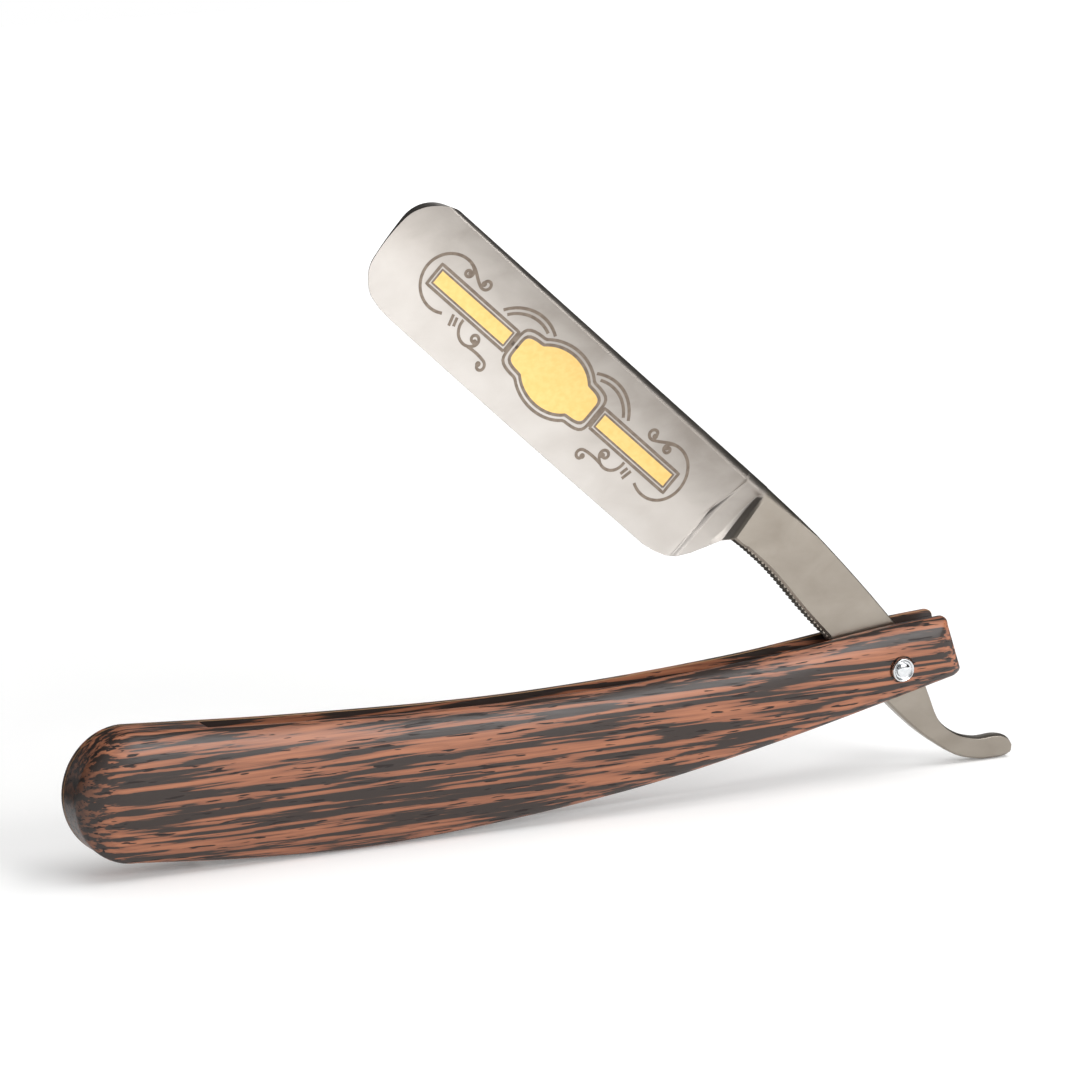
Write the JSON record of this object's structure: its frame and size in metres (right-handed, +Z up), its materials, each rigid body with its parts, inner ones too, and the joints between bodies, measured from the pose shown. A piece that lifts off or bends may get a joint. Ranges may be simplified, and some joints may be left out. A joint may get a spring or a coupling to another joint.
{
  "type": "straight razor",
  "caption": "Folding straight razor: hollow-ground blade with curled tail, pivoting on a riveted pin between two curved wooden scales.",
  "frame": {"origin": "middle of the bounding box in X and Y, at the height of the surface that the razor stands on", "axes": "+X from the handle's rounded end towards the pivot end and the tail, +Y from the front scale to the rear scale, +Z up"},
  "size_m": [0.1628, 0.012, 0.0984],
  "materials": {
    "wenge_wood": "striped dark and red-brown tropical wood, oiled and buffed to a satin sheen",
    "nickel_silver": "turned and polished",
    "brass": "turned, slightly dulled",
    "satin_steel": "ground and satin polished, with an etched scroll and a gilt banner on the front face"
  },
  "bodies": {
    "handle": {"front_scale": "wenge_wood", "rear_scale": "wenge_wood", "wedge": "wenge_wood", "pivot_pin": "nickel_silver", "front_collar": "nickel_silver", "rear_collar": "nickel_silver", "front_washer": "brass", "rear_washer": "brass"},
    "blade_body": {"blade": "satin_steel"}
  },
  "joints": [
    {"name": "blade_pivot", "type": "hinge", "parent": "handle", "child": "blade_body", "pos_m": [0.05868, 0, 0.01794], "axis": [0, 1, 0], "range_deg": [-43.2, 285]}
  ]
}
